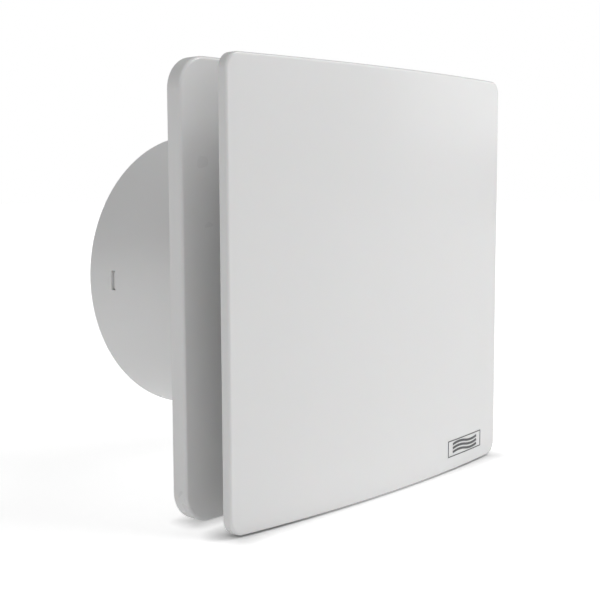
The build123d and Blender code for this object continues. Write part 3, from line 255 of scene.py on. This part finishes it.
def laminated(name):
    """A stack of 0.5 mm steel sheets: dark joints between sheets across Y."""
    mat, tree, shader = base_material(name)
    spot = add(tree, "ShaderNodeTexCoord").outputs["Object"]
    split = add(tree, "ShaderNodeSeparateXYZ")
    tree.links.new(spot, split.inputs[0])
    sheets = maths(tree, "FRACT", maths(tree, "MULTIPLY", split.outputs["Y"], 2000.0))
    joint = maths(tree, "ABSOLUTE", maths(tree, "SUBTRACT", sheets, 0.5))
    joint = ramp(tree, joint, 0.3, 0.48)
    facing = add(tree, "ShaderNodeSeparateXYZ")
    tree.links.new(add(tree, "ShaderNodeNewGeometry").outputs["Normal"], facing.inputs[0])
    side = ramp(tree, maths(tree, "ABSOLUTE", facing.outputs["Y"]), 0.5, 0.8, 1.0, 0.0)
    joint = maths(tree, "MULTIPLY", joint, side)
    work = add(tree, "ShaderNodeGroup", node_tree=WORKED)
    set_inputs(work, Roughness=0.42, Oxide_Amount=0.35, Streak_Amount=0.25)
    shade = maths(tree, "SUBTRACT", work.outputs["Shade"], maths(tree, "MULTIPLY", joint, 0.55))
    tinted(tree, (0.30, 0.31, 0.33), shade, shader)
    tree.links.new(work.outputs["Roughness"], shader.inputs["Roughness"])
    shader.inputs["Metallic"].default_value = 0.9
    bump(tree, maths(tree, "SUBTRACT", 1.0, joint), 0.00008, 0.6, shader)
    return mat


def wound(name, colour, axis, pitch, rough, metallic):
    """Turns side by side along one axis: a rounded ridge for each, with painted shade in the groove between
    turns.
    """
    mat, tree, shader = base_material(name)
    spot = add(tree, "ShaderNodeTexCoord").outputs["Object"]
    split = add(tree, "ShaderNodeSeparateXYZ")
    tree.links.new(spot, split.inputs[0])
    turns = maths(tree, "FRACT", maths(tree, "MULTIPLY", split.outputs[axis], 1.0 / pitch))
    wave = maths(tree, "SINE", maths(tree, "MULTIPLY", turns, math.pi))
    uneven = noise(tree, spot, 260.0, 3.0)
    # painted shade: the groove between turns is painted darker, times an uneven tone
    shade = maths(tree, "MULTIPLY", ramp(tree, wave, 0.0, 0.6, 0.45, 1.0),
                  ramp(tree, uneven, 0.2, 0.8, 0.85, 1.1))
    tinted(tree, colour, shade, shader)
    tree.links.new(ramp(tree, uneven, 0.2, 0.8, rough - 0.06, rough + 0.08), shader.inputs["Roughness"])
    shader.inputs["Metallic"].default_value = metallic
    bump(tree, wave, pitch * 0.4, 0.8, shader)
    return mat


def felted(name, colour):
    """Matted fibres soaked with oil."""
    mat, tree, shader = base_material(name)
    spot = add(tree, "ShaderNodeTexCoord").outputs["Object"]
    fibres = noise(tree, spot, 3200.0, 6.0, 0.75)
    stain = noise(tree, spot, 300.0, 3.0)
    shade = maths(tree, "MULTIPLY", ramp(tree, fibres, 0.2, 0.8, 0.7, 1.15),
                  ramp(tree, stain, 0.3, 0.7, 0.75, 1.0))
    tinted(tree, colour, shade, shader)
    tree.links.new(ramp(tree, stain, 0.3, 0.7, 0.6, 0.95), shader.inputs["Roughness"])
    shader.inputs["Sheen Weight"].default_value = 0.3
    bump(tree, fibres, 0.0001, 0.8, shader)
    return mat


WHITE = (0.84, 0.84, 0.838)
FINISHES = {
    "cover_plastic": lambda: plastic("white_gloss_cover", WHITE, 0.26, grain=2200.0, coat=0.15, sub=0.05),
    "housing_plastic": lambda: plastic("white_gloss_housing", WHITE, 0.28, coat=0.12, sub=0.05),
    "lid_plastic": lambda: plastic("white_lid", WHITE, 0.35),
    "damper_plastic": lambda: plastic("white_damper", (0.78, 0.78, 0.77), 0.42, grain=1800.0, depth=0.00001),
    "impeller_plastic": lambda: plastic("white_impeller", (0.8, 0.8, 0.79), 0.3, coat=0.1),
    "badge_print": lambda: plastic("grey_badge_print", (0.10, 0.10, 0.105), 0.5, dust=0.0),
    "terminal_plastic": lambda: plastic("cream_terminal", (0.78, 0.75, 0.66), 0.45),
    "clamp_plastic": lambda: plastic("pale_clamp", (0.72, 0.72, 0.70), 0.45),
    "bobbin_plastic": lambda: plastic("cream_bobbin", (0.76, 0.73, 0.62), 0.5, grain=1500.0),
    "cutout_plastic": lambda: plastic("black_cutout", (0.03, 0.03, 0.032), 0.4),
    "spacer_plastic": lambda: plastic("black_spacer", (0.05, 0.05, 0.055), 0.45),
    "grommet_rubber": lambda: plastic("black_rubber", (0.02, 0.02, 0.021), 0.75, grain=1200.0,
                                      depth=0.00002, dust=0.01),
    "lead_brown": lambda: plastic("brown_sleeve", (0.12, 0.045, 0.02), 0.38),
    "lead_blue": lambda: plastic("blue_sleeve", (0.02, 0.09, 0.42), 0.38),
    "coil_tape": lambda: wound("yellow_tape", (0.75, 0.58, 0.12), "X", 0.0081, 0.35, 0.0),
    "winding_copper": lambda: wound("enamelled_wire", (0.52, 0.19, 0.07), "X", 0.00025, 0.28, 0.8),
    "lamination_steel": lambda: laminated("laminated_steel"),
    "brass_clamp": lambda: metal("brass", (0.72, 0.52, 0.22), 0.3),
    "bush_bronze": lambda: metal("sintered_bronze", (0.52, 0.36, 0.19), 0.5, scale=2500.0, oxide=0.3),
    "ring_copper": lambda: metal("copper", (0.78, 0.38, 0.24), 0.3, stretch=(1.0, 0.1, 1.0)),
    "screw_steel": lambda: metal("zinc_plate", (0.66, 0.67, 0.68), 0.3, scale=1500.0),
    "clip_steel": lambda: metal("spring_steel", (0.42, 0.43, 0.45), 0.35),
    "pin_steel": lambda: metal("drawn_steel", (0.62, 0.63, 0.64), 0.28, stretch=(1.0, 1.0, 0.05)),
    "shaft_steel": lambda: metal("ground_steel", (0.74, 0.75, 0.76), 0.14, stretch=(1.0, 8.0, 1.0),
                                 oxide=0.03),
    "bracket_metal": lambda: metal("die_cast", (0.62, 0.63, 0.64), 0.48, scale=700.0, oxide=0.2),
    "felt": lambda: felted("oiled_felt", (0.62, 0.56, 0.44)),
}


def dress_nodes():
    """Gives each CAD node the finish of its material slot."""
    made = {}
    slots = {p["node"]: p["material_slot"] for p in frame["record"]["subparts"]}
    for name, piece in nodes.items():
        slot = slots[name]
        if slot not in made:
            made[slot] = FINISHES[slot]()
        for place in piece.material_slots:
            place.material = made[slot]
        if not piece.material_slots:
            piece.data.materials.append(made[slot])


dress_nodes()


# ---------------------------------------------------------------- stage, light, camera
# Camera: a lens of about 65 mm on a 36 mm sensor, looking 47.4 degrees right of straight on and 6.1 down.
CAMERA_AT = Vector((-343.65, -300.91, 39.65)) * MM
CAMERA_YAW = math.radians(47.42)
CAMERA_PITCH = math.radians(6.06)
CAMERA_ROLL = math.radians(-0.25)
LENS = 65.35
SENSOR_WIDTH = 36.0
FOOT_HALF = 80.0 * MM
# back edge, front edge and an offset of each strip that touches or nears the floor; the floor's glow is
# dimmed near these strips into a painted contact shadow, and the offset makes that painted shadow weaker
FOOT_STRIPS = ((-26.5 * MM, -31.0 * MM, 0.0), (-1.0 * MM, -5.5 * MM, 5.5 * MM))
# half size of the floor, and how far out its seen brightness starts and stops rising, in metres
FLOOR_HALF = 6.0
FLOOR_NEAR = 0.12
FLOOR_FAR = 0.9
# strength of the glow that lights the object, what the camera sees on top of it near and far, and the width
# over which all of the glow fades out at the strips, which paints a contact shadow
FLOOR_GLOW = 0.3
FLOOR_LIFT = 0.32
PAINTED_SHADOW_WIDTH = 0.013
FLOOR_FAR_LIFT = 0.55
# strength of the surround as a light, and as the camera sees it
AIR_LIGHT = 0.297
AIR_SEEN = 1.0


def place_camera():
    """Builds the camera from its heading, downward pitch and roll."""
    forward = Vector((math.sin(CAMERA_YAW) * math.cos(CAMERA_PITCH),
                      math.cos(CAMERA_YAW) * math.cos(CAMERA_PITCH),
                      -math.sin(CAMERA_PITCH)))
    level = Vector((math.cos(CAMERA_YAW), -math.sin(CAMERA_YAW), 0.0))
    upright = level.cross(forward)
    right = math.cos(CAMERA_ROLL) * level + math.sin(CAMERA_ROLL) * upright
    up = -math.sin(CAMERA_ROLL) * level + math.cos(CAMERA_ROLL) * upright
    turn = Matrix((right, up, -forward)).transposed().to_4x4()
    data = bpy.data.cameras.new("camera")
    data.lens = LENS
    data.sensor_width = SENSOR_WIDTH
    data.clip_start = 0.01
    data.clip_end = 50.0
    camera = bpy.data.objects.new("camera", data)
    camera.matrix_world = Matrix.Translation(CAMERA_AT) @ turn
    bpy.context.scene.collection.objects.link(camera)
    bpy.context.scene.camera = camera


def distance_from_foot(tree):
    """How far a place on the floor is from the two strips the cover and the base stand on, plus each strip's
    offset; the painted contact shadow is drawn from this distance.
    """
    place = add(tree, "ShaderNodeTexCoord").outputs["Object"]
    split = add(tree, "ShaderNodeSeparateXYZ")
    tree.links.new(place, split.inputs[0])
    across = maths(tree, "SUBTRACT", maths(tree, "ABSOLUTE", split.outputs["X"]), FOOT_HALF)
    side = maths(tree, "POWER", maths(tree, "MAXIMUM", across, 0.0), 2.0)
    nearest = None
    for back, front, lift in FOOT_STRIPS:
        middle = maths(tree, "SUBTRACT", split.outputs["Y"], (back + front) / 2)
        along = maths(tree, "SUBTRACT", maths(tree, "ABSOLUTE", middle), (back - front) / 2)
        depth = maths(tree, "POWER", maths(tree, "MAXIMUM", along, 0.0), 2.0)
        away = maths(tree, "ADD", maths(tree, "SQRT", maths(tree, "ADD", side, depth)), lift)
        nearest = away if nearest is None else maths(tree, "MINIMUM", nearest, away)
    return nearest


def studio_floor():
    """A large pale floor under the lowest edge of the base plate, glowing faintly like a light table; the
    glow fades out near the strips the object stands on, which paints a contact shadow on the floor.
    """
    low = cad_box[0].z
    size = FLOOR_HALF
    mesh = bpy.data.meshes.new("studio_floor")
    mesh.from_pydata([(-size, -size, low), (size, -size, low), (size, size, low), (-size, size, low)],
                     [], [(0, 1, 2, 3)])
    floor = bpy.data.objects.new("studio_floor", mesh)
    bpy.context.scene.collection.objects.link(floor)
    mat, tree, shader = base_material("studio_white")
    shader.inputs["Base Color"].default_value = (0.95, 0.95, 0.95, 1.0)
    shader.inputs["Roughness"].default_value = 0.9
    shader.inputs["Specular IOR Level"].default_value = 0.0
    away = distance_from_foot(tree)
    seen = add(tree, "ShaderNodeLightPath").outputs["Is Camera Ray"]
    lift = ramp(tree, away, FLOOR_NEAR, FLOOR_FAR, FLOOR_LIFT, FLOOR_FAR_LIFT)
    glow = maths(tree, "ADD", maths(tree, "MULTIPLY", seen, lift), FLOOR_GLOW)
    # painted contact shadow: the glow, both as seen and as light, fades to nothing at the strips
    painted_shadow_fade = ramp(tree, away, 0.0, PAINTED_SHADOW_WIDTH, 0.0, 1.0)
    shader.inputs["Emission Color"].default_value = (1.0, 1.0, 1.0, 1.0)
    tree.links.new(maths(tree, "MULTIPLY", glow, painted_shadow_fade), shader.inputs["Emission Strength"])
    mesh.materials.append(mat)


def area_light(name, at, target, width, height, power):
    """A rectangular softbox that faces a target point."""
    data = bpy.data.lights.new(name, "AREA")
    data.shape = "RECTANGLE"
    data.size = width
    data.size_y = height
    data.energy = power
    lamp = bpy.data.objects.new(name, data)
    lamp.location = at
    lamp.rotation_mode = "QUATERNION"
    lamp.rotation_quaternion = (Vector(target) - Vector(at)).to_track_quat("-Z", "Y")
    bpy.context.scene.collection.objects.link(lamp)


# place, width, height and watts of each softbox, in metres from the duct's centre
SOFTBOXES = {
    "right_top_box": ((1.6, -1.0, 1.9), 1.2, 1.2, 7.4),
    "right_box": ((2.1, -0.8, 0.7), 1.4, 1.2, 5.4),
    "front_right_box": ((1.3, -1.5, 1.1), 1.5, 1.5, 5.0),
    "left_high_box": ((-1.2, -0.9, 1.6), 1.0, 1.0, 2.4),
    "back_low_box": ((-0.8, 1.6, 0.1), 1.4, 0.3, 0.4),
    "top_near_box": ((0.12, -0.27, 0.52), 0.2, 0.2, 0.8),
}


def studio_light():
    """A dim white surround that looks bright to the camera, and softboxes mostly from the right."""
    world = bpy.data.worlds.new("studio_air")
    world.use_nodes = True
    tree = world.node_tree
    back = tree.nodes["Background"]
    back.inputs["Color"].default_value = (1.0, 1.0, 1.0, 1.0)
    seen = add(tree, "ShaderNodeLightPath").outputs["Is Camera Ray"]
    tree.links.new(ramp(tree, seen, 0.0, 1.0, AIR_LIGHT, AIR_SEEN), back.inputs["Strength"])
    scene = bpy.context.scene
    scene.world = world
    scene.view_settings.view_transform = "Standard"
    for name, (at, width, height, power) in SOFTBOXES.items():
        area_light(name, at, (0.0, 0.0, 0.0), width, height, power)


place_camera()
studio_floor()
studio_light()
